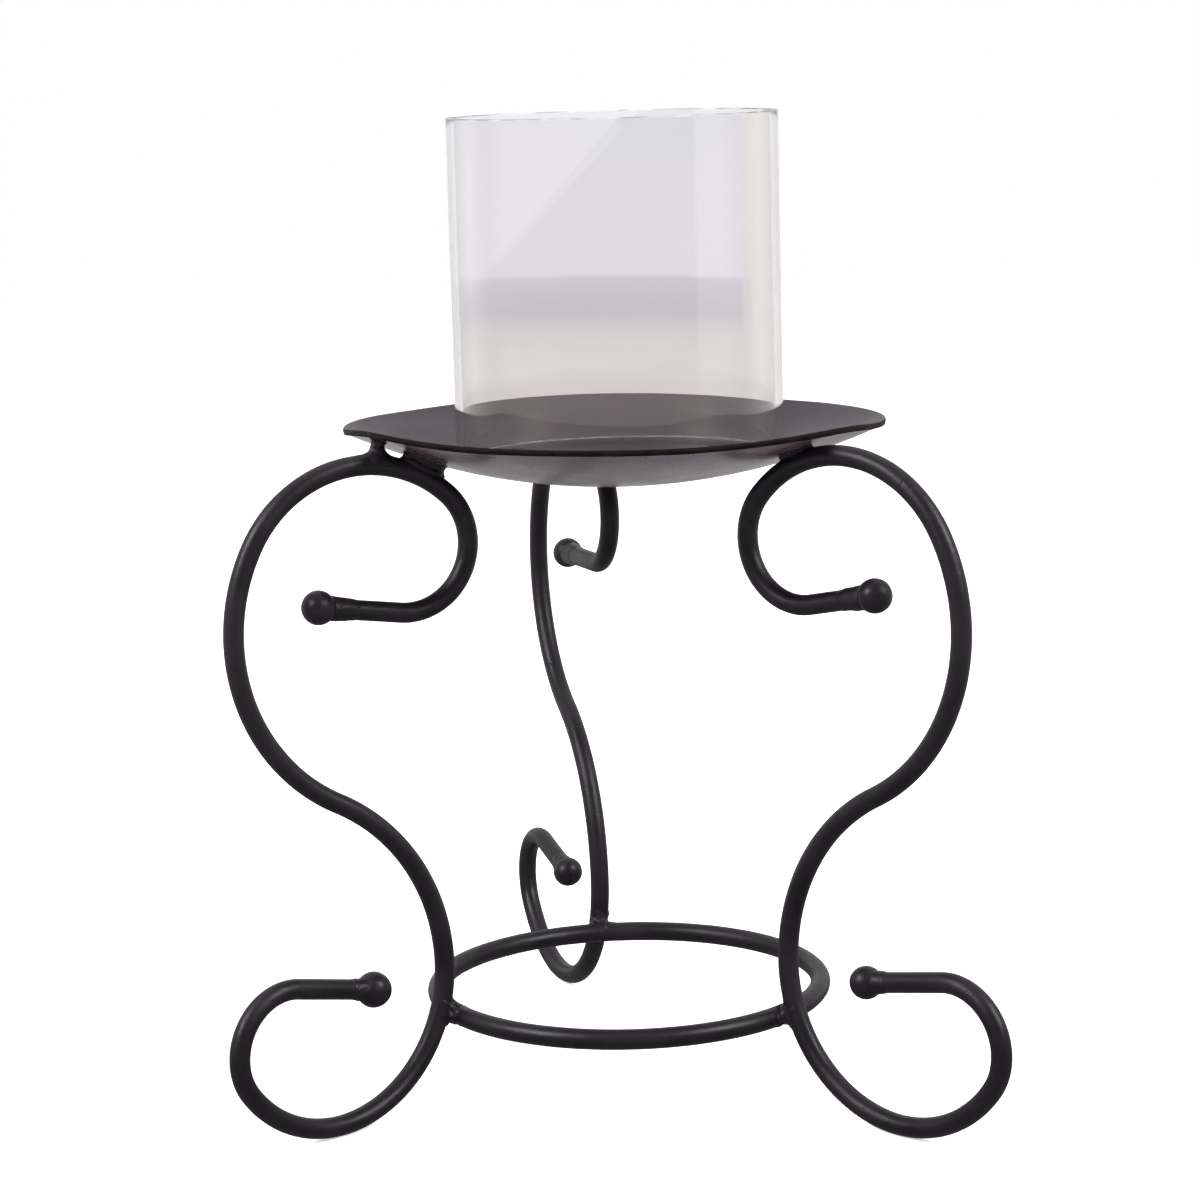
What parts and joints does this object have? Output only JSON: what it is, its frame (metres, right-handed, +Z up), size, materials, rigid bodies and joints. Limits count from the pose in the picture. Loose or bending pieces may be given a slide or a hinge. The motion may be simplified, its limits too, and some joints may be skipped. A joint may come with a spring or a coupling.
{
  "type": "candle stand",
  "caption": "Free-standing candle stand: scroll legs of bent round rod tied by a base ring carry a shallow round dish in which a loose open glass chimney stands.",
  "frame": {"origin": "on the floor, straight below the centre of the base ring and of the dish", "axes": "+Z up, -Y towards the front, with the left leg at the front left, the right leg at the front right and one leg at the back"},
  "size_m": [0.2256, 0.2402, 0.2997],
  "materials": {
    "black_paint": "satin",
    "dish_paint": "satin",
    "glass": "clear"
  },
  "bodies": {
    "stand": {"scroll_leg_left": "black_paint", "scroll_leg_right": "black_paint", "scroll_leg_back": "black_paint", "upper_ball_left": "black_paint", "upper_ball_right": "black_paint", "upper_ball_back": "black_paint", "foot_ball_left": "black_paint", "foot_ball_right": "black_paint", "foot_ball_back": "black_paint", "base_ring": "black_paint", "dish": "dish_paint", "rim_prop": "black_paint", "ring_weld_left": "black_paint", "ring_weld_right": "black_paint", "ring_weld_back": "black_paint", "dish_weld_left": "black_paint", "dish_weld_right": "black_paint", "dish_weld_back": "black_paint", "upper_ball_welds": "black_paint", "foot_ball_welds": "black_paint"},
    "chimney": {"glass_chimney": "glass"}
  },
  "joints": [
    {"name": "chimney_lift", "type": "slide", "parent": "stand", "child": "chimney", "axis": [0, 0, 1], "range_m": [0, 0.12]}
  ]
}
